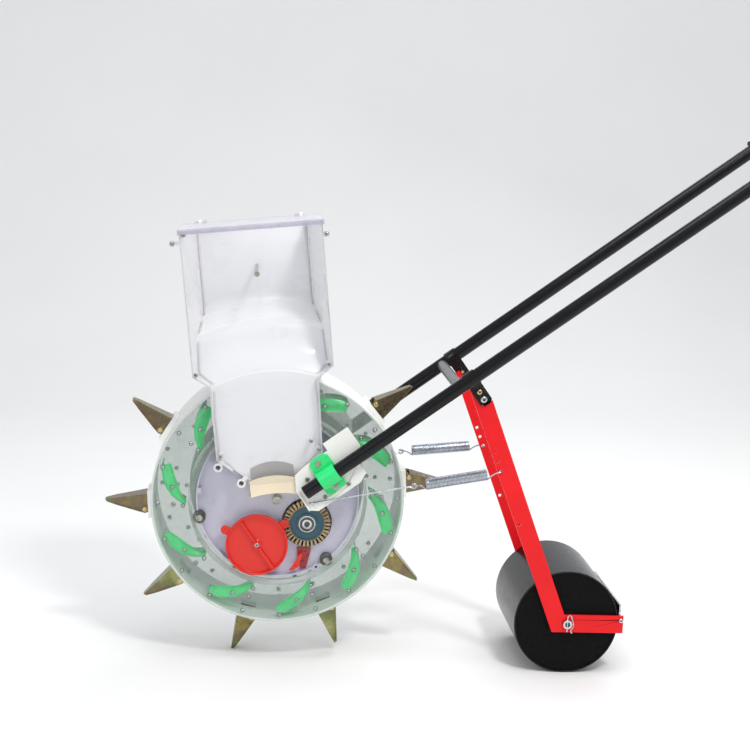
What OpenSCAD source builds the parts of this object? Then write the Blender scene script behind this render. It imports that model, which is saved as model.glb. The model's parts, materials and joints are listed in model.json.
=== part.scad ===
// Hand-push seeder: a duckbill planting wheel turns on rollers around a fixed core that meters the
// seed, a clear hopper feeds it, and a sprung press roller closes the soil behind.
// Millimetres, +Z up. The machine travels towards -X. The origin is on the ground, under the middle
// of the machine. The wheel turns about an axis along Y.

/* [Wheel] */
// Outside diameter of the wheel's two plates
wheel_d = 462; // [458:1:466]
// Width over the two plates
wheel_w = 149; // [147:1:151]
// Diameter over the duckbill tips
tip_d = 638.8; // [632:0.2:640]
// Angle of the first duckbill above the horizontal
wheel_phase = 4.3; // [0:0.1:10]
// Thickness of the wheel plates
plate_t = 4; // [3:0.5:5]
// Diameter of the hole in the wheel plates
hole_d = 304; // [300:1:306]

/* [Hopper] */
// Width of the hopper's front panel
hopper_w = 252; // [244:1:256]
// Height of the wide part of the hopper
hopper_h = 259; // [240:1:275]
// Lean of the hopper towards the front of the machine
hopper_lean = 6.9; // [6:0.1:7.5]

/* [Handle] */
// Slope of the handle tubes
tube_slope = 37.1; // [37:0.05:37.2]
// Outside diameter of the handle tubes
tube_d = 25; // [24.6:0.1:25]
// Distance along the slope from the wheel axle to the end of the tubes
tube_end = 1240; // [1200:5:1280]

/* [Press roller] */
// Diameter of the press roller
roller_d = 196.6; // [190:0.2:200]
// Length of the press roller
roller_l = 204.4; // [196:0.2:205]

/* [Metering] */
// Gear module of the metering train
gear_m = 3.375; // [3.37:0.001:3.38]
// Diameter over the brush bristles
brush_d = 89; // [84:0.5:90]
// Play between gear teeth
backlash = 0.35; // [0.3:0.05:0.5]

/* [Hidden] */
$fn = 96;
stations = 10;
r_rim = wheel_d / 2;
r_tip = tip_d / 2;
r_hole = hole_d / 2;
hw = wheel_w / 2;
r_track = 160;
r_guide = 11.7;
guide_c = r_track - r_guide - 0.3;
guide_angles = [-164.6, -50.7, 73];
ring_z = 80;
pin_z = 24;
step_z = 29;
brush_z = 30;
meter_c = (ring_z - pin_z) * gear_m / 2;
meter_a = -112.3;
mx = meter_c * cos(meter_a);
mz = meter_c * sin(meter_a);
brush_c = (step_z + brush_z) * gear_m / 2;
brush_a = 23.6;
bx = mx + brush_c * cos(brush_a);
bz = mz + brush_c * sin(brush_a);
tr = tube_d / 2;
tube_y0 = 121.1;
tube_spread = 0.424;
root_z = -7.6;
ca = cos(tube_slope);
sa = sin(tube_slope);
tube_start = 58;
strap_u = 419;
bar_u = 394;
pivot = [361.5, 207.6];
arm_tilt = 21.8;
arm_w = [18, 15];
arm_y = [103.5, 108.5];
hook = [402.6, 74.6];
roller_c = [544.5, -212];
// Lowest point of the machine at rest: the lower of the press roller and the lowest duckbill tip
low_tip = r_tip * sin(wheel_phase + 252);
ground = min(roller_c[1] - roller_d / 2, low_tip);
x_low = r_tip * cos(wheel_phase + 180);
x_high = 0.25 + (tube_end + 3) * ca + 16 * sa;
x_mid = (x_low + x_high) / 2;

// A round bar along Y
module ycyl(r, y0, y1) translate([0, y1, 0]) rotate([90, 0, 0]) cylinder(r = r, h = y1 - y0);
// A flat shape drawn in X and Z, thickened along Y
module yext(y0, y1) translate([0, y1, 0]) rotate([90, 0, 0]) linear_extrude(y1 - y0) children();
module at(p) translate([p[0], 0, p[1]]) children();
module both() { children(); mirror([0, 1, 0]) children(); }
// Stands the machine on the ground
module place() translate([-x_mid, 0, -ground]) children();
// Frame of station k of the wheel: +X outwards through the tip, +Z the way the wheel turns
module station(k) rotate([0, -(wheel_phase + 360 / stations * k), 0]) children();
module each_station() for (k = [0 : stations - 1]) station(k) children();
function polar(r, a) = [r * cos(a), r * sin(a)];
// Frame of one handle tube: +X square to the tube, upwards, +Z along it
module tube_frame() translate([0.25, -tube_y0, root_z]) rotate([0, 90 - tube_slope, 0])
    rotate([tube_spread, 0, 0]) rotate([0, 0, 180]) children();
function on_tube(u, v) = [0.25 + u * ca - v * sa, root_z + u * sa + v * ca];
module hopper_frame() translate([-35.9, 0, 242.5]) rotate([0, -hopper_lean, 0]) children();

// Involute tooth half angle at radius r, for a wheel of n teeth
function inv(x) = tan(x) * 180 / PI - x;
function rb(n) = n * gear_m / 2 * cos(20);
function half_at(n, r, play) = 90 / n - play / (n * gear_m) * 180 / PI + inv(20)
    - (r > rb(n) ? inv(acos(rb(n) / r)) : 0);
function tooth(n, ri, ro, play, c) = [
    for (i = [0 : 4]) let (r = ri + (ro - ri) * i / 4) polar(r, c - half_at(n, r, play)),
    for (i = [4 : -1 : 0]) let (r = ri + (ro - ri) * i / 4) polar(r, c + half_at(n, r, play))];
module gear2d(n, ri, ro, play, turn) polygon([for (k = [0 : n - 1]) each
    tooth(n, ri, ro, play, turn + 360 / n * k)]);

/* ---------- wheel ---------- */

wheel_screws = [[218, 16.7], [219, -1.6], [173, 0.4], [190, -0.6], [193.5, 26]];

module wheel_front_plate() color([0.84, 0.9, 0.88, 0.45]) place() difference() {
    union() {
        ycyl(r_rim, -hw, -hw + plate_t);
        ycyl(213.6, -hw - 1.5, -hw + 1);
        ycyl(r_hole + 3, -hw - 2, -hw + 1);
        ycyl(r_track + 3, -hw + 1, -38);
    }
    difference() { ycyl(211, -hw - 3, -hw); ycyl(r_hole + 3, -hw - 4, -hw + 1); }
    ycyl(r_hole, -hw - 3, 0);
    ycyl(r_track, -hw + plate_t, 0);
    each_station() for (s = wheel_screws) rotate([0, -s[1], 0]) at([s[0], 0]) ycyl(1.6, -hw - 5, -hw + 6);
}

module wheel_rear_plate() color([0.84, 0.9, 0.88, 0.45]) place() difference() {
    ycyl(r_rim, hw - plate_t, hw);
    ycyl(r_hole, 0, hw + 1);
    each_station() for (s = wheel_screws) rotate([0, -s[1], 0]) at([s[0], 0]) ycyl(1.6, hw - 6, hw + 5);
}

module wheel_rim() color([0.93, 0.94, 0.93]) place() difference() {
    ycyl(r_rim, -hw + plate_t, hw - plate_t);
    ycyl(r_rim - 3.5, -hw, hw);
    each_station() translate([r_rim - 8, -17, -7]) cube([12, 34, 29]);
}

module ring_gear() color([0.9, 0.9, 0.88]) place() difference() {
    ycyl(166, 52, hw - plate_t);
    yext(50, hw) gear2d(ring_z, ring_z * gear_m / 2 - gear_m, ring_z * gear_m / 2 + 1.25 * gear_m,
        -backlash, 0);
    ycyl(ring_z * gear_m / 2 - gear_m, 50, hw);
}

// Centre line and half width of a seed chute, from its outer end to its inner end
function chute_r(t) = 213 - 45 * t;
function chute_a(t) = 15.4 + 20.4 * t + 2.2 * sin(180 * t);
function chute_w(t) = 3.4 + 8.4 * pow(sin(180 * pow(0.09 + 0.86 * t, 0.62)), 1.2);
function chute_side(t, s) = let (p = polar(chute_r(t), chute_a(t)),
    q = polar(chute_r(t + 0.01), chute_a(t + 0.01)), d = q - p, n = [-d[1], d[0]] / norm(d)) p + n * s;

module seed_chutes() color([0.1, 0.8, 0.4]) place() each_station() {
    yext(-67, -63) polygon(concat([for (i = [0 : 12]) chute_side(i / 12, chute_w(i / 12))],
        [for (i = [12 : -1 : 0]) chute_side(i / 12, -chute_w(i / 12))]));
    yext(-63, -8) polygon(concat([for (i = [0 : 12]) chute_side(i / 12, -chute_w(i / 12) + 2.2)],
        [for (i = [12 : -1 : 0]) chute_side(i / 12, -chute_w(i / 12))]));
}

module screw_heads(y, s) mirror([0, s, 0]) {
    ycyl(3.4, y, y + 2.2);
    ycyl(1.6, y + 2, y + 2.2 + plate_t);
}

module wheel_screw_set() color([0.75, 0.76, 0.78]) place() each_station()
    for (s = wheel_screws) rotate([0, -s[1], 0]) at([s[0], 0]) both() screw_heads(-hw - 2.2, 0);

/* ---------- duckbills ---------- */

base_x = r_rim + 5;
lead0 = [base_x + 8, 25];
lead_d = [cos(-17.65), sin(-17.65)];
lead_n = [sin(17.65), cos(17.65)];
bill_pivot = lead0 + 4 * lead_d - 5 * lead_n;
function on_lead(s, o) = lead0 + s * lead_d + o * lead_n;
lead_len = (r_tip - lead0[0]) / lead_d[0];

module duckbill_sockets() color([0.93, 0.94, 0.93]) place() each_station() difference() {
    translate([r_rim - 3, -30, -17]) cube([12, 60, 51]);
    ycyl(r_rim + 0.02, -40, 40);
    translate([r_rim - 8, -17, -7]) cube([30, 34, 29]);
    translate([base_x, -22.05, -11.05]) cube([20, 44.1, 36.1]);
}

module bill_outline(d) linear_extrude(100, center = true) polygon([[base_x - 3, -22 + d], [base_x - 3, 22 - d],
    [r_tip - 20, 14 - d], [r_tip + 0.1 - d * 2, 7 - d], [r_tip + 0.1 - d * 2, -7 + d], [r_tip - 20, -14 + d]]);

module duckbill_shells() color([0.62, 0.58, 0.36]) place() each_station() difference() {
    union() {
        intersection() {
            yext(-23, 23) polygon([[base_x, -11], [r_tip, -1], [r_tip, on_lead(lead_len, 0)[1]],
                on_lead(0, 0), [base_x, 25]]);
            bill_outline(0);
        }
        for (y = [-22, 20.4]) translate([bill_pivot[0], 0, bill_pivot[1]]) ycyl(7, y, y + 1.6);
    }
    intersection() {
        yext(-23, 23) polygon([[base_x - 1, -9], [r_tip - 5, 0.9], [r_tip - 5, 40], [base_x - 1, 40]]);
        bill_outline(1.6);
    }
    translate([bill_pivot[0], 0, bill_pivot[1]]) ycyl(2.5, -30, 30);
}

module duckbill_pins() color([0.83, 0.67, 0.3]) place() each_station()
    translate([bill_pivot[0], 0, bill_pivot[1]]) {
        ycyl(2.5, -23, 23);
        ycyl(4.6, -24, -22);
        ycyl(4.6, 22, 24);
    }

module flap(k) color([0.66, 0.62, 0.38]) place() station(k) difference() {
    union() {
        intersection() {
            yext(-22, 22) polygon([on_lead(5, 0.35), on_lead(lead_len - 1.5, 0.35), on_lead(lead_len - 2.5, 2.35),
                on_lead(5, 2.35)]);
            linear_extrude(100, center = true) polygon([[base_x, -20.1], [base_x, 20.1], [base_x + 22, 20.1],
                [r_tip - 20, 14], [r_tip, 7], [r_tip, -7], [r_tip - 20, -14], [base_x + 22, -20.1]]);
        }
        for (y = [-17.1, 14.6]) {
            translate([bill_pivot[0], 0, bill_pivot[1]]) ycyl(5, y, y + 2.5);
            yext(y, y + 2.5) polygon([bill_pivot - 3 * lead_d, bill_pivot + 9 * lead_d,
                bill_pivot + 11 * lead_d + 5.8 * lead_n, bill_pivot + 1.2 * lead_d + 5.8 * lead_n]);
        }
    }
    translate([bill_pivot[0], 0, bill_pivot[1]]) ycyl(2.56, -30, 30);
}
module flap_01() flap(0);
module flap_02() flap(1);
module flap_03() flap(2);
module flap_04() flap(3);
module flap_05() flap(4);
module flap_06() flap(5);
module flap_07() flap(6);
module flap_08() flap(7);
module flap_09() flap(8);
module flap_10() flap(9);

/* ---------- fixed core ---------- */

posts = [[50, 50], [84, 18], [125.2, 43.1]];
posts_far = [[50, 50], [84, 18], [110, 26]];

module core_housing() color([0.82, 0.82, 0.87]) place() difference() {
    union() {
        ycyl(150, -46, -42);
        difference() {
            ycyl(150, -58, -44);
            ycyl(147, -59, -45.9);
        }
        at([mx, mz]) ycyl(57.2, -59.5, -12);
        at([-144.6, 10]) translate([-5, -58.5, -5]) cube([9, 13, 10]);
        at([75.5, -129.5]) ycyl(6, -58.5, -45);
        difference() { ycyl(128, -42, 44); ycyl(124, -43, 45); }
        for (p = posts) at(p) ycyl(6, -105, -44);
    }
    for (p = posts) at(p) ycyl(2, -110, -92);
    at([mx, mz]) ycyl(54.6, -60, -14);
    at([mx, mz]) ycyl(8.05, -20, 0);
    at([bx, bz]) ycyl(brush_d / 2 + 2, -65, -40);
    for (a = guide_angles) at(polar(guide_c, a)) { ycyl(4, -50, -40); ycyl(r_guide + 0.8, -62, -46); }
    for (p = ring_bosses) at(p) ycyl(8.6, -62, -46);
    at([75.5, -129.5]) ycyl(2.6, -62, -48);
    hopper_frame() translate([-40, -60, -199]) cube([80, 30, 31]);
    rotate([0, -meter_a, 0]) translate([110, -36, -18]) cube([50, 20, 36]);
    at([-1.4, -4.6]) ycyl(4, -60, -40);
    at([38, -125.5]) ycyl(2.5, -60, -40);
}

module core_rear() color([0.82, 0.82, 0.87]) place() difference() {
    union() {
        ycyl(128, 44, 48);
        for (p = posts_far) at(p) ycyl(5, 46, 105);
    }
    at([mx, mz]) ycyl(8.05, 40, 50);
    at([bx, bz]) ycyl(5.05, 40, 50);
    for (p = posts_far) at(p) ycyl(2, 92, 110);
}

module core_bolts() color([0.72, 0.66, 0.45]) place() {
    at([-1.4, -4.6]) { ycyl(4, -50, -38); ycyl(10, -47.2, -46); yext(-53, -47.2) circle(r = 7.5, $fn = 6); }
    at([-47, 3.6]) ycyl(5, -50, -46);
    for (a = guide_angles) at(polar(guide_c, a)) {
        ycyl(4, -62, -41);
        yext(-66, -62) circle(r = 6.6, $fn = 6);
        ycyl(8, -62, -60.9);
    }
}

module guide(k) color([0.28, 0.27, 0.27]) place() at(polar(guide_c, guide_angles[k])) difference() {
    union() { ycyl(r_guide, -60.6, -48.5); ycyl(7, -48.6, -46.3); }
    ycyl(4.05, -70, -40);
}
module guide_roller_1() guide(0);
module guide_roller_2() guide(1);
module guide_roller_3() guide(2);

// Arched block in front of the core, seen from the front: half width w, upper arc and lower arc
module outlet_shape(w, d) intersection() {
    translate([-w, -240]) square([2 * w, 60]);
    translate([0, -313.3]) circle(r = 121.6 - d);
    difference() { translate([-60, -240]) square([120, 60]); translate([0, -403.8]) circle(r = 179.6 + d); }
}
module seed_outlet() color([0.96, 0.9, 0.74]) place() hopper_frame() {
    yext(-101.2, -96.5) outlet_shape(41.5, 0);
    difference() {
        yext(-96.7, -46.1) intersection() {
            outlet_shape(41.5, 0);
            translate([-60, -240]) square([120, 38]);
        }
        yext(-110, -40) outlet_shape(38.5, 3);
    }
}

module meter_cap() color([0.94, 0.2, 0.13]) place() at([mx, mz]) difference() {
    union() {
        difference() { ycyl(57.4, -69.2, -60); ycyl(53.6, -70, -64); }
        rotate([0, 55, 0]) translate([-52, -69, -5]) cube([104, 6, 10]);
        ycyl(9, -70, -63);
        for (a = [156, 39]) {
            at(polar(64, a)) ycyl(8.5, -64.4, -60.4);
            rotate([0, -a, 0]) translate([55.5, -64.2, -7.6]) cube([8.5, 3.6, 15.2]);
        }
    }
    ycyl(2.6, -75, -61);
}

module cap_screw() color([0.75, 0.76, 0.78]) place() at([mx, mz]) {
    ycyl(2.6, -70.2, -62);
    ycyl(5, -72.2, -70.05);
}

module metering_roller() color([0.9, 0.88, 0.8]) place() at([mx, mz]) difference() {
    union() { ycyl(54, -50, -15); ycyl(8, -52, 64); }
    for (k = [0 : 2]) rotate([0, -120 * k - 30, 0]) at([54, 0]) translate([0, -32, 0]) sphere(r = 7);
}

// The pinion's teeth stand in the ring gear's spaces at rest
pinion_turn = meter_a - meter_a * ring_z / pin_z;
module metering_gear() color([0.86, 0.85, 0.8]) place() at([mx, mz]) difference() {
    union() {
        yext(51.5, 62) gear2d(pin_z, pin_z * gear_m / 2 - 1.25 * gear_m, pin_z * gear_m / 2 + 0.9 * gear_m,
            backlash, pinion_turn);
        yext(48.3, 51.6) gear2d(step_z, step_z * gear_m / 2 - 1.2 * gear_m, step_z * gear_m / 2 + 0.9 * gear_m,
            backlash, 0);
    }
    ycyl(8, 40, 64);
}
module brush_gear() color([0.86, 0.85, 0.8]) place() at([bx, bz]) {
    yext(48.3, 51.6) gear2d(brush_z, brush_z * gear_m / 2 - 1.2 * gear_m, brush_z * gear_m / 2 + 0.9 * gear_m,
        backlash, brush_turn);
    ycyl(5, -55, 56);
}
// Direction from the brush to the metering shaft, then half a tooth on from the pinion's phase
brush_turn = brush_a + 180 + 180 / brush_z + brush_a * step_z / brush_z;

module brush_disc() color([0.3, 0.55, 0.58]) place() at([bx, bz]) difference() {
    union() {
        ycyl(32.4, -57, -49);
        difference() { ycyl(32.4, -59, -50); ycyl(29, -60, -52); }
        ycyl(20, -59.5, -50);
    }
    ycyl(16, -62, -54);
    ycyl(5, -62, -40);
}
module brush_bearing() color([0.55, 0.57, 0.6]) place() at([bx, bz]) difference() {
    ycyl(16, -60, -54);
    difference() { ycyl(13.4, -62, -59); ycyl(9, -63, -58); }
    ycyl(5, -62, -40);
}
module brush_bristles() color([0.72, 0.58, 0.38]) place() at([bx, bz]) difference() {
    ycyl(brush_d / 2, -57.5, -49.5);
    ycyl(32.4, -60, -40);
}

module seed_guard() color([0.62, 0.1, 0.1]) place() difference() {
    yext(-50.5, -46.1) polygon([[38.5, -95], [63, -94], [65, -98], [62, -112], [57, -134], [47, -136],
        [41, -114]]);
    for (p = [[55, -101], [60.5, -108], [50, -120]]) at(p) ycyl(2, -60, -40);
}
module guard_lever() color([0.95, 0.2, 0.13]) place() at([38, -125.5]) difference() {
    union() {
        ycyl(5.5, -63.4, -58.3);
        yext(-62.4, -58.9) polygon([[-13, -10], [-6.5, -10.5], [4.5, -2.5], [11.5, 21], [7, 23], [-4.6, 1]]);
        ycyl(2.45, -60, -43);
    }
    ycyl(1.2, -70, -60);
}

/* ---------- hopper ---------- */

hf = -101.5;
hr = 60.5;
hwid = hopper_w / 2;
front_screws = [[-117.8, 252], [-119.2, 4], [117.6, 4], [74.6, -132.7], [-89.5, -147], [87, -150]];
side_screws = [[-138.7, 238.6], [131, 235.5]];
ring_bosses = [[-67.8, 32.4], [-110.8, 60.2]];

module hopper_outline(d, e) polygon([[-hwid + d, hopper_h + e], [-hwid + d, 0.5 * d], [-98 + d, -20 + 0.6 * d],
    [-97 + d, -154 + 0.4 * d], [-42 + 0.6 * d, -201 - e], [43 - 0.6 * d, -201 - e], [94 - d, -158 + 0.4 * d],
    [98 - d, -20 + 0.6 * d], [hwid - d, 0.5 * d], [hwid - d, hopper_h + e]]);
// The hopper's body, narrower at the back
module hopper_block(d, e) intersection() {
    yext(hf - (d > 0 ? 1 : 0), hr - d) hopper_outline(d, e);
    translate([0, 0, -300]) linear_extrude(620) polygon([[-hwid + d, hf - 2], [hwid - d, hf - 2],
        [104 - d, hr + 1], [-104 + d, hr + 1]]);
}
// Room for the turning wheel and its duckbills under the hopper
module wheel_room(d) rotate([-90, 0, 0]) rotate_extrude() polygon([[0, -79 - d], [240 + d * 0.34, -79 - d],
    [283 + d * 0.48, -46 - d * 0.89], [328 + d * 0.82, -30 - d * 0.77], [366 + d * 1.04, 100], [0, 100]]);
module lid_knuckle(x0, x1, r) translate([x0, 66.5, hopper_h + 2]) rotate([0, 90, 0]) cylinder(r = r, h = x1 - x0);

// Inside of the duct from the neck to the core
module duct_room(y0, y1) intersection() {
    translate([-40, y0, -199]) cube([80, y1 - y0, 40]);
    at([0.8, -251]) ycyl(83, y0 - 1, y1 + 1);
}

module hopper_shell() color([0.93, 0.93, 0.94, 0.9]) place() difference() {
    union() {
        difference() {
            hopper_frame() hopper_block(0, 0);
            wheel_room(0);
            difference() {
                hopper_frame() hopper_block(2.5, 5);
                wheel_room(2.5);
                hopper_frame() for (s = front_screws) {
                    at(s) ycyl(4.5, hf, hf + (s[1] < -50 ? 21 : 16));
                    if (s[1] > -50) at(s) translate([s[0] > 0 ? 0 : -8, hf, -4]) cube([8, 16, 8]);
                }
            }
        }
        hopper_frame() {
            for (s = side_screws) at(s) ycyl(5, hf, hf + 9);
            at([-131, 238.6]) translate([-8, hf, -3]) cube([14, 7, 6]);
            at([124.5, 235.5]) translate([-1, hf + 0.4, -3]) cube([7, 6.6, 6]);
            for (s = [-1, 1]) {
                lid_knuckle(s * 94 - 3, s * 94 + 3, 5);
                translate([s * 94 - 3, hr - 1, hopper_h - 12]) cube([6, 7, 12.2]);
            }
        }
        hopper_frame() translate([-42.5, -79.5, -201.5]) cube([85, 33.4, 35.5]);
        for (p = ring_bosses) at(p) {
            ycyl(8.2, -84, -46.1);
            rotate([0, -56.4, 0]) translate([0, -83.6, -4]) cube([17, 4, 8]);
        }
    }
    hopper_frame() duct_room(-84, -40);
    for (p = ring_bosses) at(p) ycyl(4.6, -90, -60);
    hopper_frame() {
        for (s = concat(front_screws, side_screws)) at(s) ycyl(1.5, hf - 5, hf + 12);
        at([3.8, 174.7]) ycyl(3, hf, hr + 5);
        for (s = [-1, 1]) lid_knuckle(s * 94 - 8, s * 94 + 8, 2);
    }
}

module hopper_panel() color([0.9, 0.93, 0.95, 0.4]) place() hopper_frame() difference() {
    union() {
        yext(hf - 3, hf) hopper_outline(0, 0);
        at([-131, 238.6]) translate([-12, hf - 3, -5]) cube([18, 3, 10]);
        at([131, 235.5]) translate([-8, hf - 3, -5]) cube([13, 3, 10]);
    }
    for (s = concat(front_screws, side_screws)) at(s) ycyl(1.5, hf - 5, hf + 12);
    at([3.8, 174.7]) ycyl(3, hf - 5, hf + 5);
}

module hopper_screws() color([0.75, 0.76, 0.78]) place() hopper_frame() {
    for (s = concat(front_screws, side_screws)) at(s) { ycyl(3.6, hf - 5.4, hf - 3); ycyl(1.5, hf - 4, hf + 9); }
    for (s = [-1, 1]) {
        lid_knuckle(s * 94 - 11, s * 94 + 4, 2);
        lid_knuckle(s * 94 + (s > 0 ? 3 : -5), s * 94 + (s > 0 ? 5 : -3), 3.5);
    }
}
module hopper_stay() color([0.75, 0.76, 0.78]) place() hopper_frame() at([3.8, 174.7]) {
    ycyl(3, hf - 3, hr);
    ycyl(4.6, hf - 5.4, hf - 3);
    ycyl(4.6, hr, hr + 2.5);
}
module hopper_lid() color([0.88, 0.88, 0.94, 0.4]) place() hopper_frame() difference() {
    union() {
        translate([-hwid - 2.5, hf - 5.5, hopper_h + 0.4]) cube([hopper_w + 5, hr - hf + 5.2, 3]);
        translate([-hwid - 2.5, hf - 7.5, hopper_h - 6]) cube([hopper_w + 5, 2.1, 9.4]);
        for (s = [-1, 1]) {
            lid_knuckle(s * 86 - 4.4, s * 86 + 4.4, 5);
            translate([s * 86 - 4.4, hr - 1, hopper_h + 0.4]) cube([8.8, 7, 3]);
        }
    }
    for (s = [-1, 1]) lid_knuckle(s * 86 - 10, s * 86 + 10, 2.06);
}

/* ---------- handle ---------- */

module handle_tubes() color([0.07, 0.07, 0.08]) place() both() tube_frame() difference() {
    translate([0, 0, tube_start]) cylinder(r = tr, h = tube_end - tube_start);
    translate([0, 0, tube_start - 1]) cylinder(r = tr - 1.6, h = tube_end);
}
module handle_grips() color([0.12, 0.12, 0.12]) place() both() tube_frame() difference() {
    union() {
        translate([0, 0, tube_end - 110]) cylinder(r = 16, h = 113);
        translate([0, 0, tube_end - 112]) cylinder(r = 19, h = 5);
        for (i = [0 : 7]) translate([0, 0, tube_end - 98 + 12 * i]) cylinder(r = 16.8, h = 5);
    }
    translate([0, 0, tube_end - 130]) cylinder(r = tr, h = 130);
}
module crossbar() color([0.52, 0.53, 0.55]) place() difference() {
    at(on_tube(bar_u, 0)) ycyl(10, -120, 120);
    at(on_tube(bar_u, 0)) ycyl(8, -130, 130);
    both() tube_frame() cylinder(r = tr, h = 600);
}
module tube_clamps() color([0.1, 0.8, 0.4]) place() both() difference() {
    union() {
        intersection() {
            tube_frame() translate([0, 0, 92]) cylinder(r = 17.6, h = 36);
            translate([-100, -160, -100]) cube([400, 50.5, 400]);
        }
        yext(-112.4, -108.3) polygon([on_tube(94, -33), on_tube(128, -31), on_tube(131, 0), on_tube(130, 34),
            on_tube(122, 40), on_tube(98, 40), on_tube(91, 32), on_tube(89, -10), on_tube(88, -26)]);
    }
    tube_frame() cylinder(r = tr + 0.02, h = 300);
    at(on_tube(106.5, 29.2)) ycyl(3, -150, -100);
    at(on_tube(108.8, -24.5)) ycyl(3, -150, -100);
}
module clamp_bolts() color([0.83, 0.74, 0.45]) place() both()
    for (p = [on_tube(106.5, 29.2), on_tube(108.8, -24.5)]) at(p) {
        ycyl(3, -115, -99);
        yext(-117.5, -113.6) circle(r = 5.6, $fn = 6);
        ycyl(7, -113.6, -112.4);
        yext(-105, -100.5) circle(r = 5.6, $fn = 6);
    }
module handle_brackets() color([0.95, 0.95, 0.93]) place() difference() {
    both() {
        yext(-108.2, -105) polygon([on_tube(58, -45), on_tube(150, -45), on_tube(168, -36), on_tube(168, -12),
            on_tube(188, 12), on_tube(188, 53), on_tube(134, 53), on_tube(134, 38), on_tube(84, 38),
            on_tube(60, 34), on_tube(46, 10), on_tube(44, -34)]);
        yext(-115, -107) polygon([on_tube(44, -34), on_tube(47, -34), on_tube(49, 10), on_tube(46, 10)]);
    }
    for (p = posts) at(p) ycyl(2, -120, -100);
    for (p = posts_far) at(p) ycyl(2, 100, 120);
    both() at(on_tube(106.5, 29.2)) ycyl(3, -150, -100);
    both() at(on_tube(108.8, -24.5)) ycyl(3, -150, -100);
    both() at([57, 5.7]) ycyl(2.2, -120, -100);
}
module bracket_screw() { ycyl(2, -109, -93); ycyl(4.4, -110.1, -108.2); }
module bracket_screws() color([0.75, 0.76, 0.78]) place() {
    for (p = posts) at(p) bracket_screw();
    for (p = posts_far) at(p) mirror([0, 1, 0]) bracket_screw();
}
module straps() color([0.08, 0.08, 0.08]) place() both() difference() {
    union() {
        difference() {
            translate([0.25, -tube_y0 - 3.1, root_z]) rotate([0, 90 - tube_slope, 0])
                translate([0, 0, strap_u - 12]) cylinder(r = tr + 2.2, h = 24);
            translate([0.25, -tube_y0 - 3.1, root_z]) rotate([0, 90 - tube_slope, 0])
                translate([0, 0, strap_u - 20]) cylinder(r = tr + 0.15, h = 40);
        }
        difference() {
            yext(-112.2, -109.7) polygon([on_tube(strap_u - 12, 6), on_tube(strap_u - 12, -52),
                on_tube(strap_u - 6, -58), on_tube(strap_u + 7, -58), on_tube(strap_u + 12, -53),
                on_tube(strap_u + 12, 6)]);
            translate([0.25, -tube_y0 - 3.1, root_z]) rotate([0, 90 - tube_slope, 0])
                translate([0, 0, strap_u - 20]) cylinder(r = tr + 0.15, h = 40);
        }
    }
    at(pivot) ycyl(4, -120, -100);
    at(on_tube(strap_u, -30.3)) ycyl(3, -120, -100);
}
module strap_bolts() color([0.85, 0.72, 0.4]) place() both() at(on_tube(strap_u, -30.3)) {
    ycyl(3, -114, -100);
    ycyl(5.4, -115.6, -112.2);
}
module pivot_bolts() color([0.85, 0.86, 0.88]) place() both() at(pivot) {
    ycyl(4, -116, -97.6);
    ycyl(6.6, -116.6, -112.2);
    yext(-102.9, -98.4) circle(r = 7, $fn = 6);
}

/* ---------- press roller frame ---------- */

module arm_outline() difference() {
    translate(pivot) rotate(-90 + arm_tilt) translate([-60, -arm_w[0]])
        square([600, arm_w[0] + arm_w[1]]);
    translate([0, -829.5]) square([1200, 1200], center = true);
    translate([0.25, root_z]) rotate(tube_slope) translate([-100, -25]) square([1200, 200]);
    translate([0.25, root_z]) rotate(tube_slope) translate([strap_u - 3.5, -58]) square([200, 60]);
}
module roller_arms() color([0.93, 0.16, 0.15]) place() both() difference() {
    yext(-arm_y[1], -arm_y[0]) arm_outline();
    at(pivot) ycyl(4.05, -120, -100);
    at(hook) ycyl(3.4, -120, -100);
    for (d = [19.5, 39, -107]) at([hook[0] - d * sin(arm_tilt), hook[1] + d * cos(arm_tilt)])
        ycyl(3.2, -120, -100);
    at(roller_c) ycyl(8.4, -120, -100);
}
module scraper_bars() color([0.93, 0.16, 0.15]) place() both() difference() {
    yext(-arm_y[1], -arm_y[0]) difference() {
        polygon([[515, -229.5], [651.5, -229.5], [651.5, -196], [515, -196]]);
        translate(pivot) rotate(-90 + arm_tilt) translate([-60, -80])
            square([600, 80 + arm_w[1]]);
    }
    at(roller_c) ycyl(8.4, -120, -100);
    at([647, -205]) ycyl(2.5, -120, -100);
}
module scraper_blade() color([0.82, 0.86, 0.88]) place() difference() {
    union() {
        translate([643.6, -103.4, -222]) cube([3.4, 206.8, 46]);
        both() translate([643.6, -103.5, -212]) cube([7, 3, 14]);
    }
    at([647, -205]) ycyl(2.5, -120, 120);
}
module roller_axle() color([0.5, 0.5, 0.5]) place() difference() {
    at(roller_c) ycyl(8.3, -117, 117);
    both() at(roller_c) ycyl(5, -120, -95);
    both() at(roller_c) translate([0, -113.5, -20]) cylinder(r = 1.4, h = 40);
}
module axle_clips() color([0.85, 0.85, 0.86]) place() both() {
    at(roller_c) translate([0, -113.5, -26]) cylinder(r = 1.3, h = 40);
    at(roller_c) translate([0, -113.5, 14]) sphere(r = 2);
    at([647, -205]) { ycyl(2.5, -111, -99.5); ycyl(4.4, -111.2, -108.5); }
}
module roller_shell() color([0.2, 0.22, 0.25]) place() at(roller_c) difference() {
    ycyl(roller_d / 2, -roller_l / 2, roller_l / 2);
    ycyl(roller_d / 2 - 3, -roller_l / 2 - 1, roller_l / 2 + 1);
}
module roller_ends() color([0.07, 0.07, 0.07]) place() at(roller_c) difference() {
    both() {
        ycyl(roller_d / 2 - 3.02, -roller_l / 2 + 2, -roller_l / 2 + 5);
        ycyl(24, -roller_l / 2 - 0.8, -roller_l / 2 + 3);
        ycyl(14, -roller_l / 2 + 4, -roller_l / 2 + 30);
    }
    ycyl(8.36, -110, 110);
}

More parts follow.
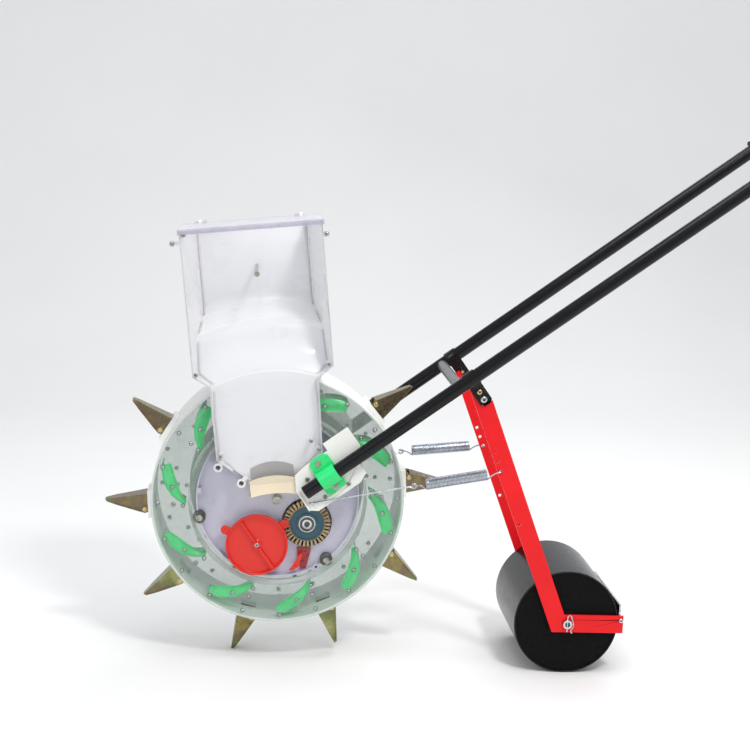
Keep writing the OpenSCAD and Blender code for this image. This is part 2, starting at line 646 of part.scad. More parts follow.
// Wire rods and springs run on the outer side of the arms
rod_y = -112;
rod_a = [57, 5.7];
spring_l = [[243, 43.5], [241, 56.5]];
module wire(p, q, r) {
    d = q - p;
    translate([p[0], 0, p[1]]) rotate([0, 90 - atan2(d[1], d[0]), 0]) cylinder(r = r, h = norm(d));
}
module rod_side(e) translate([0, rod_y, 0]) {
    wire(rod_a, e, 1.8);
    at(rod_a) sphere(r = 1.8);
    at(e) sphere(r = 1.8);
    at(rod_a) ycyl(1.8, 0, 10);
    at(e) rotate([0, 0, 0]) ycyl(1.8, -4.5, 4.5);
}
module spring_rods() color([0.7, 0.72, 0.74]) place() {
    rod_side(spring_l[0]);
    mirror([0, 1, 0]) rod_side(spring_l[1]);
}
module spring_side(e) let (d = (hook - e) / norm(hook - e)) translate([0, rod_y - 1.5, 0]) {
    difference() {
        wire(e + 22 * d, hook - 26 * d, 10.4);
        wire(e + 20 * d, hook - 24 * d, 7.9);
    }
    wire(e + 4 * d, e + 22.6 * d, 1.2);
    wire(hook - 27 * d, hook, 1.2);
    at(hook) sphere(r = 1.7);
    translate([e[0] + 22 * d[0], 0, e[1] + 22 * d[1]]) rotate([0, 90 - atan2(d[1], d[0]), 0]) cylinder(r = 9.6, h = 1.2);
    translate([hook[0] - 27.2 * d[0], 0, hook[1] - 27.2 * d[1]]) rotate([0, 90 - atan2(d[1], d[0]), 0])
        cylinder(r = 9.6, h = 1.2);
    at(hook) ycyl(1.2, 0, 16);
}
module springs() color([0.6, 0.64, 0.68]) place() {
    spring_side(spring_l[0]);
    mirror([0, 1, 0]) spring_side(spring_l[1]);
}

wheel_front_plate();
wheel_rear_plate();
wheel_rim();
ring_gear();
seed_chutes();
wheel_screw_set();
duckbill_sockets();
duckbill_shells();
duckbill_pins();
flap_01();
flap_02();
flap_03();
flap_04();
flap_05();
flap_06();
flap_07();
flap_08();
flap_09();
flap_10();
core_housing();
core_rear();
core_bolts();
guide_roller_1();
guide_roller_2();
guide_roller_3();
seed_outlet();
meter_cap();
cap_screw();
metering_roller();
metering_gear();
brush_gear();
brush_disc();
brush_bearing();
brush_bristles();
seed_guard();
guard_lever();
hopper_shell();
hopper_panel();
hopper_screws();
hopper_stay();
hopper_lid();
handle_tubes();
handle_grips();
crossbar();
tube_clamps();
clamp_bolts();
handle_brackets();
bracket_screws();
straps();
strap_bolts();
pivot_bolts();
roller_arms();
scraper_bars();
scraper_blade();
roller_axle();
axle_clips();
roller_shell();
roller_ends();
spring_rods();
springs();
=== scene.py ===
"""Looks of the push seeder: materials and finer pieces round the frozen CAD frame, then stage and light."""

import json
import math
import random

import bmesh
import bpy
from mathutils import Matrix, Vector


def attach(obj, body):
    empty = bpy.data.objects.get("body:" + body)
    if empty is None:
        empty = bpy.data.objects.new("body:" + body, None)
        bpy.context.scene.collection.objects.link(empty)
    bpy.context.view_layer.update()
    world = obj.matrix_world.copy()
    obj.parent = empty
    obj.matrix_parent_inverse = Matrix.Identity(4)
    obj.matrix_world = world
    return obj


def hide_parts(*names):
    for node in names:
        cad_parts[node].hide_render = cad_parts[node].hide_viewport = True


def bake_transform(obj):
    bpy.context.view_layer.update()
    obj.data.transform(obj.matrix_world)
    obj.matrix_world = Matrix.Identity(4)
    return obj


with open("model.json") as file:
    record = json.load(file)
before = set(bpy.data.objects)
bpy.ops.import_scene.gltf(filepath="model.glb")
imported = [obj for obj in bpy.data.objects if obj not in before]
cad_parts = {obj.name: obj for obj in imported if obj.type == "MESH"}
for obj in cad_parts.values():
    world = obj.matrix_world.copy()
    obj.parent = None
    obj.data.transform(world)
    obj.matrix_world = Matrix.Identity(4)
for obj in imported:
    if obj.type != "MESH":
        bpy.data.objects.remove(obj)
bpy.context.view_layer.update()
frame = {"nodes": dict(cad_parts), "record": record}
nodes = frame["nodes"]
rng = random.Random(7)
OX, OZ = -0.3414, 0.3103          # the wheel axle in the row frame is at (OX, 0, OZ)
SMOOTH = math.radians(38)         # edges sharper than this stay sharp


def P(x, y, z):
    """Wheel-axle millimetres to row-frame metres."""
    return Vector((x / 1000 + OX, y / 1000, z / 1000 + OZ))


# ---------------------------------------------------------------- materials

def new_mat(name):
    m = bpy.data.materials.new(name)
    m.use_nodes = True
    nt = m.node_tree
    return m, nt, nt.nodes["Principled BSDF"]


def node(nt, kind, **vals):
    n = nt.nodes.new(kind)
    for k, v in vals.items():
        if k in n.inputs:
            n.inputs[k].default_value = v
        else:
            setattr(n, k, v)
    return n


def noise(nt, scale, detail=4.0, rough=0.55, off=0.0):
    tc = nt.nodes.new("ShaderNodeTexCoord")
    mp = nt.nodes.new("ShaderNodeMapping")
    mp.inputs["Location"].default_value = (off, off * 0.7, off * 0.3)
    nt.links.new(tc.outputs["Object"], mp.inputs["Vector"])
    n = node(nt, "ShaderNodeTexNoise", Scale=scale, Detail=detail, Roughness=rough)
    nt.links.new(mp.outputs["Vector"], n.inputs["Vector"])
    return n.outputs["Fac"]


def ramp(nt, fac, stops):
    r = nt.nodes.new("ShaderNodeValToRGB")
    e = r.color_ramp.elements
    while len(e) < len(stops):
        e.new(0.5)
    for i, (pos, col) in enumerate(stops):
        e[i].position = pos
        e[i].color = (*col, 1.0)
    nt.links.new(fac, r.inputs["Fac"])
    return r.outputs["Color"]


def remap(nt, fac, lo, hi, a=0.3, b=0.7):
    r = node(nt, "ShaderNodeMapRange")
    r.inputs["From Min"].default_value = a
    r.inputs["From Max"].default_value = b
    r.inputs["To Min"].default_value = lo
    r.inputs["To Max"].default_value = hi
    nt.links.new(fac, r.inputs["Value"])
    return r.outputs["Result"]


def mixc(nt, fac, a, b):
    m = nt.nodes.new("ShaderNodeMix")
    m.data_type = "RGBA"
    for sock, v in ((m.inputs[0], fac), (m.inputs[6], a), (m.inputs[7], b)):
        if isinstance(v, bpy.types.NodeSocket):
            nt.links.new(v, sock)
        elif sock.type == "RGBA":
            sock.default_value = (*v, 1.0)
        else:
            sock.default_value = v
    return m.outputs[2]


def bump(nt, bsdf, *layers):
    last = None
    for fac, strength, dist in layers:
        b = node(nt, "ShaderNodeBump", Strength=strength, Distance=dist)
        nt.links.new(fac, b.inputs["Height"])
        if last is not None:
            nt.links.new(last, b.inputs["Normal"])
        last = b.outputs["Normal"]
    nt.links.new(last, bsdf.inputs["Normal"])


def shade(c, f):
    return tuple(min(1.0, v * f) for v in c)


def plastic(name, col, rough=0.38, var=0.12, grain=900, grain_s=0.12, coat=0.0, sss=0.0, spec=0.5):
    m, nt, b = new_mat(name)
    cloud = noise(nt, 14, 5, 0.6)
    fine = noise(nt, grain, 3)
    c = ramp(nt, cloud, [(0.3, shade(col, 1 - var)), (0.52, col), (0.72, shade(col, 1 + var * 0.6))])
    speck = noise(nt, 420, 2, off=3.0)
    c = mixc(nt, remap(nt, speck, 0.0, 0.16, 0.6, 0.8), c, shade(col, 0.7))
    nt.links.new(c, b.inputs["Base Color"])
    nt.links.new(remap(nt, cloud, rough * 0.8, rough * 1.3), b.inputs["Roughness"])
    bump(nt, b, (fine, grain_s, 0.0004), (noise(nt, 60, 3, off=5.0), 0.05, 0.002))
    b.inputs["Coat Weight"].default_value = coat
    b.inputs["Specular IOR Level"].default_value = spec
    if sss:
        b.inputs["Subsurface Weight"].default_value = sss
        b.inputs["Subsurface Radius"].default_value = (0.01, 0.008, 0.006)
        b.inputs["Subsurface Scale"].default_value = 0.3
    return m


def clear(name, col, alpha=(0.22, 0.75), rough=0.12, var=0.1, haze=26):
    m, nt, b = new_mat(name)
    lw = node(nt, "ShaderNodeLayerWeight", Blend=0.35)
    cloud = noise(nt, haze, 5, 0.65)
    c = ramp(nt, cloud, [(0.3, shade(col, 1 - var)), (0.7, col)])
    nt.links.new(c, b.inputs["Base Color"])
    a = node(nt, "ShaderNodeMapRange")
    a.inputs["To Min"].default_value = alpha[0]
    a.inputs["To Max"].default_value = alpha[1]
    nt.links.new(lw.outputs["Facing"], a.inputs["Value"])
    mul = node(nt, "ShaderNodeMath", operation="MULTIPLY")
    nt.links.new(a.outputs["Result"], mul.inputs[0])
    nt.links.new(remap(nt, cloud, 0.85, 1.15), mul.inputs[1])
    mul.use_clamp = True
    nt.links.new(mul.outputs["Value"], b.inputs["Alpha"])
    nt.links.new(remap(nt, noise(nt, 90, 4, off=2.0), rough * 0.6, rough * 1.8), b.inputs["Roughness"])
    bump(nt, b, (noise(nt, 12, 2, off=9.0), 0.03, 0.001), (noise(nt, 1400, 2), 0.03, 0.0001))
    b.inputs["Specular IOR Level"].default_value = 0.6
    return m


def paint(name, col, rough=0.3, peel=700, peel_s=0.08, coat=0.25, var=0.1, chip=None, spec=0.5):
    m, nt, b = new_mat(name)
    cloud = noise(nt, 9, 5, 0.6)
    c = ramp(nt, cloud, [(0.3, shade(col, 1 - var)), (0.7, shade(col, 1 + var))])
    dirt = noise(nt, 130, 6, 0.7, off=4.0)
    c = mixc(nt, remap(nt, dirt, 0.0, 0.35, 0.62, 0.8), c, chip or shade(col, 0.6))
    nt.links.new(c, b.inputs["Base Color"])
    nt.links.new(remap(nt, dirt, rough * 0.8, rough * 1.5), b.inputs["Roughness"])
    bump(nt, b, (noise(nt, peel, 2), peel_s, 0.0003), (noise(nt, 45, 3, off=6.0), 0.04, 0.001))
    b.inputs["Coat Weight"].default_value = coat
    b.inputs["Coat Roughness"].default_value = 0.15
    b.inputs["Specular IOR Level"].default_value = spec
    return m


def metal(name, cols, rough=0.32, scale=40, spots=None):
    m, nt, b = new_mat(name)
    cloud = noise(nt, scale, 5, 0.6)
    n = len(cols)
    c = ramp(nt, cloud, [(0.3 + 0.4 * i / max(1, n - 1), col) for i, col in enumerate(cols)])
    if spots:
        s = noise(nt, 170, 5, 0.7, off=8.0)
        c = mixc(nt, remap(nt, s, 0.0, 0.8, 0.58, 0.72), c, spots)
    nt.links.new(c, b.inputs["Base Color"])
    b.inputs["Metallic"].default_value = 1.0
    fine = noise(nt, 260, 4, 0.6)
    nt.links.new(remap(nt, fine, rough * 0.7, rough * 1.4), b.inputs["Roughness"])
    bump(nt, b, (fine, 0.05, 0.0004), (noise(nt, 70, 3, off=3.0), 0.05, 0.001))
    return m


MAT = {
    "plate": clear("clear_plate", (0.78, 0.92, 0.86), (0.05, 0.55), 0.08, 0.05),
    # the rear plate is the same clear plastic as the front one; its whiter tone is painted light, standing
    # in for the light that comes through it from behind
    "plate_rear": clear("rear_plate_painted_light", (0.90, 0.98, 0.94), (0.42, 0.8), 0.25, 0.09, 9),
    "plate_edge": clear("clear_plate_edge", (0.86, 0.94, 0.92), (0.5, 0.8), 0.12),
    "hopper_clear": clear("clear_panel", (0.88, 0.90, 0.94), (0.04, 0.45), 0.06, 0.03),
    "clear_edge": clear("clear_panel_edge", (0.80, 0.80, 0.86), (0.6, 0.85), 0.12, 0.06),
    "lid": clear("clear_lid", (0.74, 0.72, 0.82), (0.14, 0.7), 0.08, 0.05),
    "lid_edge": clear("clear_lid_edge", (0.52, 0.50, 0.62), (0.55, 0.9), 0.12, 0.2),
    "white": plastic("white_plastic", (0.86, 0.87, 0.85), 0.4, 0.06, sss=0.1),
    "bracket": plastic("bracket_plastic", (0.86, 0.86, 0.82), 0.35, 0.06, sss=0.2),
    "frosted": plastic("frosted_shell", (0.87, 0.87, 0.88), 0.3, 0.02, grain_s=0.05, coat=0.3, sss=0.1),
    # painted shade: this grey stands in for the white hopper shell seen in shadow through the outlet window
    "smoke": plastic("painted_shade_grey_plastic", (0.40, 0.385, 0.375), 0.4, 0.06),
    "core": plastic("core_plastic", (0.56, 0.555, 0.66), 0.3, 0.08, grain_s=0.07, coat=0.25),
    "green": plastic("green_plastic", (0.012, 0.72, 0.19), 0.26, 0.14, coat=0.3),
    "cream": plastic("cream_plastic", (0.85, 0.74, 0.55), 0.45, 0.08, sss=0.1),
    "red_plastic": plastic("red_plastic", (0.74, 0.02, 0.010), 0.3, 0.06, coat=0.3, spec=0.35),
    "dark_red": paint("dark_red_paint", (0.34, 0.014, 0.012), 0.35),
    "zinc": metal("yellow_zinc", [(0.16, 0.11, 0.06), (0.27, 0.24, 0.09), (0.20, 0.14, 0.10),
                                  (0.19, 0.23, 0.09), (0.38, 0.36, 0.17)], 0.26, 11,
                  spots=(0.12, 0.08, 0.04)),
    "steel": metal("plated_steel", [(0.38, 0.40, 0.42), (0.66, 0.68, 0.70), (0.48, 0.50, 0.52)], 0.26, 60),
    "nickel": metal("dull_nickel", [(0.24, 0.24, 0.20), (0.46, 0.46, 0.40), (0.30, 0.30, 0.26)], 0.3, 80,
                    spots=(0.12, 0.11, 0.08)),
    "spring": metal("spring_steel", [(0.40, 0.44, 0.50), (0.60, 0.64, 0.70)], 0.24, 90),
    "brass": metal("brass", [(0.46, 0.35, 0.14), (0.66, 0.54, 0.27), (0.52, 0.40, 0.17)], 0.3, 60),
    # dark steel for the guide rollers, sockets and bearing shield; the rings under the wheel screws use it
    # as a painted contact shadow
    "dark_steel": metal("dark_steel", [(0.07, 0.07, 0.065), (0.18, 0.18, 0.165)], 0.36, 60),
    "black": paint("black_paint", (0.0018, 0.002, 0.003), 0.2, 400, 0.02, coat=0.0, var=0.3,
                   chip=(0.008, 0.008, 0.010), spec=0.3),
    "rubber": plastic("rubber", (0.018, 0.018, 0.018), 0.7, 0.2, 500, 0.35),
    "grey": paint("grey_paint", (0.10, 0.105, 0.115), 0.32, spec=0.4),
    "red": paint("red_paint", (0.80, 0.006, 0.010), 0.34, coat=0.08, chip=(0.5, 0.006, 0.006), spec=0.25),
    "roller": paint("roller_paint", (0.003, 0.0038, 0.0055), 0.2, 300, 0.015, coat=0.0, var=0.35,
                    chip=(0.010, 0.012, 0.008), spec=0.3),
    "roller_end": paint("roller_end_paint", (0.003, 0.003, 0.0033), 0.6, coat=0.0, spec=0.12),
    "teal": paint("teal_paint", (0.022, 0.085, 0.115), 0.32),
    "bristle": plastic("bristle", (0.66, 0.50, 0.27), 0.6, 0.3, 300, 0.3),
    "gear": plastic("gear_plastic", (0.84, 0.84, 0.80), 0.4, 0.05),
}

USE = {
    "plate": ["wheel_front_plate"],
    "plate_rear": ["wheel_rear_plate"],
    "white": ["wheel_rim", "duckbill_sockets"],
    "gear": ["ring_gear", "metering_roller", "metering_gear", "brush_gear"],
    "green": ["seed_chutes", "tube_clamps"],
    "nickel": ["core_bolts", "clamp_bolts", "hopper_stay"],
    "steel": ["wheel_screw_set", "cap_screw", "brush_bearing", "hopper_screws", "bracket_screws",
              "pivot_bolts", "scraper_blade", "axle_clips", "roller_axle", "spring_rods"],
    "zinc": ["duckbill_shells"] + ["flap_%02d" % k for k in range(1, 11)],
    "brass": ["duckbill_pins", "strap_bolts"],
    "core": ["core_housing", "core_rear"],
    "dark_steel": ["guide_roller_1", "guide_roller_2", "guide_roller_3"],
    "cream": ["seed_outlet"],
    "red_plastic": ["meter_cap", "guard_lever"],
    "teal": ["brush_disc"],
    "bristle": ["brush_bristles"],
    "dark_red": ["seed_guard"],
    "frosted": ["hopper_shell"],
    "hopper_clear": ["hopper_panel"],
    "lid": ["hopper_lid"],
    "black": ["handle_tubes", "straps"],
    "rubber": ["handle_grips"],
    "grey": ["crossbar"],
    "bracket": ["handle_brackets"],
    "red": ["roller_arms", "scraper_bars"],
    "roller": ["roller_shell"],
    "roller_end": ["roller_ends"],
    "spring": ["springs"],
}
NO_BEVEL = {"ring_gear", "metering_gear", "brush_gear", "wheel_rim", "hopper_panel", "hopper_shell",
            "hopper_lid", "wheel_front_plate", "wheel_rear_plate"}
EDGES = {"hopper_panel": "clear_edge", "hopper_lid": "lid_edge", "wheel_front_plate": "plate_edge",
         "wheel_rear_plate": "plate_edge"}


def soften(o):
    """Half-millimetre bevels on the sharp edges of a CAD mesh."""
    weld = o.modifiers.new("weld", "WELD")
    weld.merge_threshold = 0.00001
    bevel = o.modifiers.new("bevel", "BEVEL")
    bevel.width = 0.0005
    bevel.segments = 2
    bevel.limit_method = "ANGLE"
    bevel.angle_limit = SMOOTH
    normals = o.modifiers.new("normals", "WEIGHTED_NORMAL")
    normals.keep_sharp = False
    normals.weight = 80


def dress(name, key):
    """Gives a CAD piece its material, and the clear plates a denser one on their edges."""
    o = nodes[name]
    o.data.materials.clear()
    o.data.materials.append(MAT[key])
    if name in EDGES:
        o.data.materials.append(MAT[EDGES[name]])
    for p in o.data.polygons:
        p.use_smooth = True
        if name in EDGES:
            facing = p.normal.z if name == "hopper_lid" else p.normal.y
            p.material_index = 1 if abs(facing) < 0.5 else 0
    if name not in NO_BEVEL:
        soften(o)


for key, names in USE.items():
    for name in names:
        dress(name, key)

# ---------------------------------------------------------------- mesh helpers

SLOTS = {n["node"]: n["material_slot"] for n in frame["record"]["subparts"]}


def add(name, bm, mats, body, stands_for=(), slot=None):
    """Makes a piece of the mesh, rides it on its body and lets it stand for a CAD node."""
    me = bpy.data.meshes.new(name)
    bmesh.ops.recalc_face_normals(bm, faces=bm.faces[:])
    bm.to_mesh(me)
    bm.free()
    for p in me.polygons:
        p.use_smooth = True
    me.set_sharp_from_angle(angle=SMOOTH)
    o = bpy.data.objects.new(name, me)
    bpy.context.scene.collection.objects.link(o)
    for m in mats if isinstance(mats, (list, tuple)) else [mats]:
        me.materials.append(MAT[m])
    if body:
        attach(o, body)
    for n in [stands_for] if isinstance(stands_for, str) else stands_for:
        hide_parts(n)
        slot = slot or SLOTS[n]
    return o


def lathe(bm, c, side, prof, n=20, mat=0):
    """Turns (radius, height) pairs about a Y line through c = (x, z); heights are |y| in mm on that side."""
    rings = []
    for r, h in prof:
        if r <= 0:
            ring = [bm.verts.new(P(c[0], side * h, c[1]))]
        else:
            turns = (2 * math.pi * i / n for i in range(n))
            ring = [bm.verts.new(P(c[0] + r * math.cos(a), side * h, c[1] + r * math.sin(a))) for a in turns]
        rings.append(ring)
    for a, b in zip(rings, rings[1:]):
        for i in range(n):
            j = (i + 1) % n
            v = [a[i % len(a)], a[j % len(a)], b[j % len(b)], b[i % len(b)]]
            v = [x for k, x in enumerate(v) if x not in v[:k]]
            if len(v) > 2:
                bm.faces.new(v).material_index = mat


def hexagon(bm, c, side, r, y0, y1, turn=0.0):
    """A hexagon head or nut with a chamfered outer face, from |y| = y0 to y1."""
    h = y1 - y0
    n = 24

    def ring(limit, y):
        out = []
        for i in range(n):
            a = math.radians(turn) + 2 * math.pi * i / n
            k = abs(((math.degrees(a) - turn + 30) % 60) - 30)
            rr = min(limit, r * math.cos(math.radians(30)) / math.cos(math.radians(30 - k)))
            out.append(bm.verts.new(P(c[0] + rr * math.cos(a), side * y, c[1] + rr * math.sin(a))))
        return out

    rings = [ring(r, y0), ring(r, y1 - 0.22 * h), ring(r * 0.9, y1), ring(r * 0.45, y1)]
    for a, b in zip(rings, rings[1:]):
        for i in range(n):
            j = (i + 1) % n
            bm.faces.new((a[i], a[j], b[j], b[i]))
    bm.faces.new(rings[-1])
    bm.faces.new(rings[0][::-1])


def pan(bm, c, side, r, y0, h, shank, y_in, n=20):
    """A domed screw head with a dark round socket, and its shank back to |y| = y_in."""
    socket = 0.42 * r
    prof = [(0, y_in), (shank, y_in), (shank, y0), (r * 0.97, y0), (r, y0 + 0.15 * h),
            (r * 0.93, y0 + 0.55 * h), (r * 0.72, y0 + 0.88 * h), (socket + 0.25, y0 + h),
            (socket, y0 + 0.93 * h)]
    lathe(bm, c, side, prof, n)
    lathe(bm, c, side, [prof[-1], (socket * 0.94, y0 + 0.4 * h), (0, y0 + 0.32 * h)], n, 1)


def tube(bm, pts, r, n=8, taper=None):
    """A round bar along the points, with closed ends."""
    pts = [Vector(p) for p in pts]
    rings, nrm = [], None
    for i, p in enumerate(pts):
        d = (pts[min(i + 1, len(pts) - 1)] - pts[max(i - 1, 0)]).normalized()
        if nrm is None:
            nrm = d.orthogonal().normalized()
        nrm = (nrm - d * nrm.dot(d)).normalized()
        side = d.cross(nrm)
        rr = r if taper is None else r * taper(i / (len(pts) - 1))
        rings.append([bm.verts.new(P(*(p + (nrm * math.cos(a) + side * math.sin(a)) * rr)))
                      for a in (2 * math.pi * k / n for k in range(n))])
    for a, b in zip(rings, rings[1:]):
        for k in range(n):
            bm.faces.new((a[k], a[(k + 1) % n], b[(k + 1) % n], b[k]))
    bm.faces.new(rings[0][::-1])
    bm.faces.new(rings[-1])


def prism(bm, ring):
    """Joins the two equal outlines that follow each other in ring into a closed solid."""
    n = len(ring) // 2
    for q in range(n):
        bm.faces.new((ring[q], ring[(q + 1) % n], ring[n + (q + 1) % n], ring[n + q]))
    bm.faces.new(ring[:n][::-1])
    bm.faces.new(ring[n:])


# ---------------------------------------------------------------- places, in mm from the wheel axle

STATIONS = 10                     # duckbills round the wheel
PITCH = 360 / STATIONS            # degrees from one duckbill to the next
PHASE = 4.3                       # angle of the first duckbill
FACE = 74.5                       # |y| of the wheel plates' outer faces
TUBE_ROOT = (0.25, -7.6)          # where the handle tubes' line starts
TUBE_Y = 121.1
TUBE_SLOPE = math.radians(37.1)
TUBE_SPREAD = math.radians(0.424)
HOPPER_ROOT = (-35.9, 242.5)
HOPPER_LEAN = math.radians(6.9)
HINGE_Y = 66.5
POSTS = {-1: [(50, 50), (84, 18), (125.2, 43.1)], 1: [(50, 50), (84, 18), (110, 26)]}
PIVOT = (361.5, 207.6)            # where the roller's arms turn
HOOK = Vector((402.6, 0, 74.6))   # where the springs hook into the arms
SPRING_Y = 113.5
CENTRE_BOLT = (-1.4, -4.6)
GUIDE_ANGLES = (-164.6, -50.7, 73)
BRUSH_Y = 53.5                    # |y| of the middle of the bristles


def polar(r, a):
    return r * math.cos(math.radians(a)), r * math.sin(math.radians(a))


def on_tube(u, v):
    """The point u along a handle tube and v square to it, as (x, z)."""
    ca, sa = math.cos(TUBE_SLOPE), math.sin(TUBE_SLOPE)
    return TUBE_ROOT[0] + u * ca - v * sa, TUBE_ROOT[1] + u * sa + v * ca


def on_hopper(x, z):
    """A point of the hopper's own leaning frame, as (x, z) from the wheel axle."""
    c, s = math.cos(HOPPER_LEAN), math.sin(HOPPER_LEAN)
    return HOPPER_ROOT[0] + x * c - z * s, HOPPER_ROOT[1] + x * s + z * c


MX, MZ = polar(94.5, -112.3)      # axis of the metering cap
BX, BZ = MX + 99.5625 * math.cos(math.radians(23.6)), MZ + 99.5625 * math.sin(math.radians(23.6))


# ---------------------------------------------------------------- fasteners

def wheel_screws():
    """Five screws at each duckbill on both plates, each on a thin dark ring that is a painted contact shadow
    round its head.
    """
    bm = bmesh.new()
    for k in range(STATIONS):
        for r, a in ((218, 16.7), (219, -1.6), (173, 0.4), (190, -0.6), (193.5, 26)):
            for side in (-1, 1):
                c = polar(r, PHASE + PITCH * k + a)
                pan(bm, c, side, 3.1, FACE, 2.15, 1.6, 70.4, n=14)
                # painted contact shadow: a thin dark ring under each screw head, not a real washer
                lathe(bm, c, side, [(1.6, FACE), (4.1, FACE), (4.1, 74.9), (1.6, 74.9)], 16, 1)
    add("wheel_screws", bm, ["steel", "dark_steel"], "wheel", "wheel_screw_set")


def hopper_fasteners():
    """The screws round the hopper's front, and the two hinge pins of the lid with their heads."""
    bm = bmesh.new()
    screws = [(-117.8, 252), (-119.2, 4), (117.6, 4), (74.6, -132.7), (-89.5, -147), (87, -150),
              (-138.7, 238.6), (131, 235.5)]
    for s in screws:
        pan(bm, on_hopper(*s), -1, 3.6, 104.5, 2.3, 1.5, 93.0)
    for s in (-1, 1):
        a, b = on_hopper(s * 94 - 11, 261), on_hopper(s * 94 + 4, 261)
        tube(bm, [(a[0], HINGE_Y, a[1]), (b[0], HINGE_Y, b[1])], 2.0, 12)
        a, b = on_hopper(s * 98 - 1, 261), on_hopper(s * 98 + 1, 261)
        head = [(a[0] + (b[0] - a[0]) * t, HINGE_Y, a[1] + (b[1] - a[1]) * t) for t in (0, 0.2, 0.8, 1)]
        tube(bm, head, 3.5, 14, taper=lambda t: 0.8 if t in (0, 1) else 1)
    add("hopper_fasteners", bm, ["nickel", "dark_steel"], "frame", "hopper_screws")


def bracket_fasteners():
    bm = bmesh.new()
    for side in (-1, 1):
        for p in POSTS[side]:
            pan(bm, p, side, 4.4, 108.2, 2.3, 2.0, 93.0)
    add("bracket_fasteners", bm, ["nickel", "dark_steel"], "frame", "bracket_screws")


def seed_cap():
    """The metering cap: a rimmed disc with a hub, a bar across it in two halves, and two ears."""
    bm = bmesh.new()
    lathe(bm, (MX, MZ), -1, [(0, 60), (57.0, 60), (57.4, 60.5), (57.4, 68.6), (56.8, 69.2), (54.7, 69.2),
                             (54.1, 68.6), (53.6, 62.4), (52.8, 61.7), (0, 61.7)], 96)
    lathe(bm, (MX, MZ), -1, [(10, 61.6), (8.6, 62.6), (8.2, 66.4), (7.4, 67), (3.2, 67), (2.8, 66.4),
                             (2.8, 62), (0, 62)], 32)
    d = polar(1, -55)
    n = (-d[1], d[0])
    for a0, a1, w0, w1 in ((-53.5, -7.5, 1.7, 2.2), (7.5, 53.5, 2.6, 3.4)):
        ring = []
        for a, w in ((a0, w0), (a1, w1)):
            for q, y in ((-w - 1, -61.6), (-w, -68.4), (-w + 0.6, -69), (w - 0.6, -69), (w, -68.4),
                         (w + 1, -61.6)):
                ring.append(bm.verts.new(P(MX + d[0] * a + n[0] * q, y, MZ + d[1] * a + n[1] * q)))
        prism(bm, ring)
    section = ((-7.6, -60.6), (-7.6, -63.7), (-7, -64.2), (7, -64.2), (7.6, -63.7), (7.6, -60.6))
    for a in (156, 39):
        e = polar(64, a)
        lathe(bm, (MX + e[0], MZ + e[1]), -1, [(0, 60.4), (8.5, 60.4), (8.5, 63.8), (7.9, 64.4),
                                               (4.4, 64.4), (3.9, 63.4), (0, 63.2)], 28)
        d, n = polar(1, a), polar(1, a + 90)
        prism(bm, [bm.verts.new(P(MX + d[0] * r + n[0] * q, y, MZ + d[1] * r + n[1] * q))
                   for r in (55.5, 64) for q, y in section])
    add("seed_cap", bm, "red_plastic", "cap", "meter_cap")


def cap_fastener():
    bm = bmesh.new()
    pan(bm, (MX, MZ), -1, 4.2, 67.05, 2.1, 2.6, 62.0)
    add("cap_fastener", bm, ["steel", "dark_steel"], "cap", "cap_screw")


def clamp_fasteners():
    """Two bolts through each tube clamp, with a washer, a nut and the bolt's head."""
    bm = bmesh.new()
    for side in (-1, 1):
        for i, q in enumerate((on_tube(106.5, 29.2), on_tube(108.8, -24.5))):
            lathe(bm, q, side, [(0, 99), (3, 99), (3, 113)], 14)
            lathe(bm, q, side, [(3.1, 112.4), (5.9, 112.4), (5.9, 113.0), (5.6, 113.2), (3.1, 113.2)], 24)
            hexagon(bm, q, side, 4.5, 113.2, 116.6, turn=17 + 23 * i)
            lathe(bm, q, side, [(2.2, 116.5), (2.2, 117.6), (1.6, 118), (0, 118)], 14)
            hexagon(bm, q, side, 5.2, 100.5, 105, turn=40 * i)
    add("clamp_fasteners", bm, "nickel", "frame", "clamp_bolts")


def strap_fasteners():
    bm = bmesh.new()
    for side in (-1, 1):
        pan(bm, on_tube(419, -30.3), side, 5.4, 112.2, 3.3, 3.0, 100.2)
    add("strap_fasteners", bm, ["brass", "dark_steel"], "frame", "strap_bolts")


def pivot_fasteners():
    bm = bmesh.new()
    for side in (-1, 1):
        pan(bm, PIVOT, side, 6.6, 112.2, 4.3, 4.0, 97.8, n=24)
        hexagon(bm, PIVOT, side, 7, 98.6, 102.9, turn=12)
    add("pivot_fasteners", bm, ["steel", "dark_steel"], "frame", "pivot_bolts")


def core_fasteners():
    """The centre bolt on its washer, a small boss, and the bolts of the three guide rollers."""
    bm = bmesh.new()
    lathe(bm, CENTRE_BOLT, -1, [(0, 38), (4, 38), (4, 46)], 16)
    lathe(bm, CENTRE_BOLT, -1, [(4, 46), (10, 46), (10, 46.9), (9.6, 47.2), (4, 47.2)], 28)
    hexagon(bm, CENTRE_BOLT, -1, 7.5, 47.2, 53, turn=9)
    lathe(bm, (-47, 3.6), -1, [(5, 46), (5, 49.3), (4.3, 50), (2.6, 50), (2.2, 48.6), (0, 48.4)], 20)
    for i, a in enumerate(GUIDE_ANGLES):
        c = polar(148, a)
        lathe(bm, c, -1, [(0, 41), (4, 41), (4, 61)], 16)
        lathe(bm, c, -1, [(4, 60.9), (8, 60.9), (8, 61.7), (7.6, 62), (4, 62)], 28, 1)
        hexagon(bm, c, -1, 6.6, 62, 66, turn=20 * i)
    add("core_fasteners", bm, ["nickel", "dark_steel"], "frame", "core_bolts")


